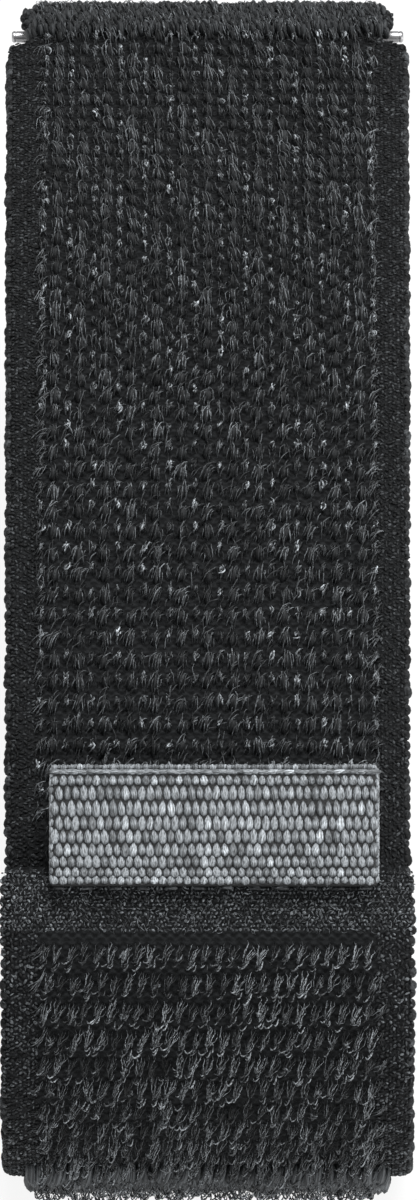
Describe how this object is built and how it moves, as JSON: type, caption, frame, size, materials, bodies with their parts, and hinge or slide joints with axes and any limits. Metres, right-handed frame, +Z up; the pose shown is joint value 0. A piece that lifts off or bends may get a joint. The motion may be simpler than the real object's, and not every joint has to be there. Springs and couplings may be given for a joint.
{
  "type": "watch strap",
  "caption": "Woven hook-and-loop watch strap closed in a loop, with a grey pull tab, folded sleeve ends and quick-release spring bars.",
  "frame": {"origin": "on the underside of the flat back run, halfway along it and halfway across the band", "axes": "+Z up from the surface that the strap lies on, +Y from the closed bend towards the watch end, +X across the band"},
  "size_m": [0.025, 0.0876, 0.0337],
  "materials": {
    "charcoal_cloth": "charcoal woven nylon with a field of loops",
    "black_hooks": "black moulded hooks",
    "grey_ribbon": "light grey woven ribbon",
    "black_thread": "black sewing thread",
    "polished_steel": "polished stainless steel",
    "spring_steel": "drawn spring wire"
  },
  "bodies": {
    "long_band": {"long_band": "charcoal_cloth", "rear_sleeve_stitching": "black_thread"},
    "free_end": {"free_end": "charcoal_cloth", "hook_patch": "black_hooks", "tab_stitching": "black_thread"},
    "pull_tab": {"pull_tab": "grey_ribbon"},
    "short_band": {"short_band": "charcoal_cloth", "front_sleeve_stitching": "black_thread"},
    "front_bar": {"front_bar_tube": "polished_steel", "front_bar_fixed_tip": "polished_steel", "front_bar_spring": "spring_steel"},
    "front_release": {"front_bar_sliding_tip": "polished_steel", "front_bar_lever": "polished_steel"},
    "rear_bar": {"rear_bar_tube": "polished_steel", "rear_bar_fixed_tip": "polished_steel", "rear_bar_spring": "spring_steel"},
    "rear_release": {"rear_bar_sliding_tip": "polished_steel", "rear_bar_lever": "polished_steel"}
  },
  "joints": [
    {"name": "free_end_peel", "type": "hinge", "parent": "long_band", "child": "free_end", "pos_m": [0, -0.04616, 0.0078], "axis": [1, 0, 0], "range_deg": [0, 75]},
    {"name": "pull_tab_flip", "type": "hinge", "parent": "free_end", "child": "pull_tab", "pos_m": [0.0003, -0.04231, 0.02836], "axis": [1, 0, 0], "range_deg": [0, 120]},
    {"name": "loop_size", "type": "hinge", "parent": "long_band", "child": "short_band", "pos_m": [0, -0.03265, 0.0156], "axis": [1, 0, 0], "range_deg": [-8, 20]},
    {"name": "front_bar_spin", "type": "hinge", "parent": "short_band", "child": "front_bar", "pos_m": [0, 0.03745, 0.02524], "axis": [1, 0, 0], "range_deg": [-15, 15]},
    {"name": "front_tip_release", "type": "slide", "parent": "front_bar", "child": "front_release", "axis": [-1, 0, 0], "range_m": [0, 0.0013], "stiffness_N_per_m": 600, "springref_m": -0.002, "deforming": ["front_bar_spring"]},
    {"name": "rear_bar_spin", "type": "hinge", "parent": "long_band", "child": "rear_bar", "pos_m": [0, 0.03265, 0.00195], "axis": [1, 0, 0], "range_deg": [-15, 15]},
    {"name": "rear_tip_release", "type": "slide", "parent": "rear_bar", "child": "rear_release", "axis": [1, 0, 0], "range_m": [0, 0.0013], "stiffness_N_per_m": 600, "springref_m": -0.002, "deforming": ["rear_bar_spring"]}
  ]
}
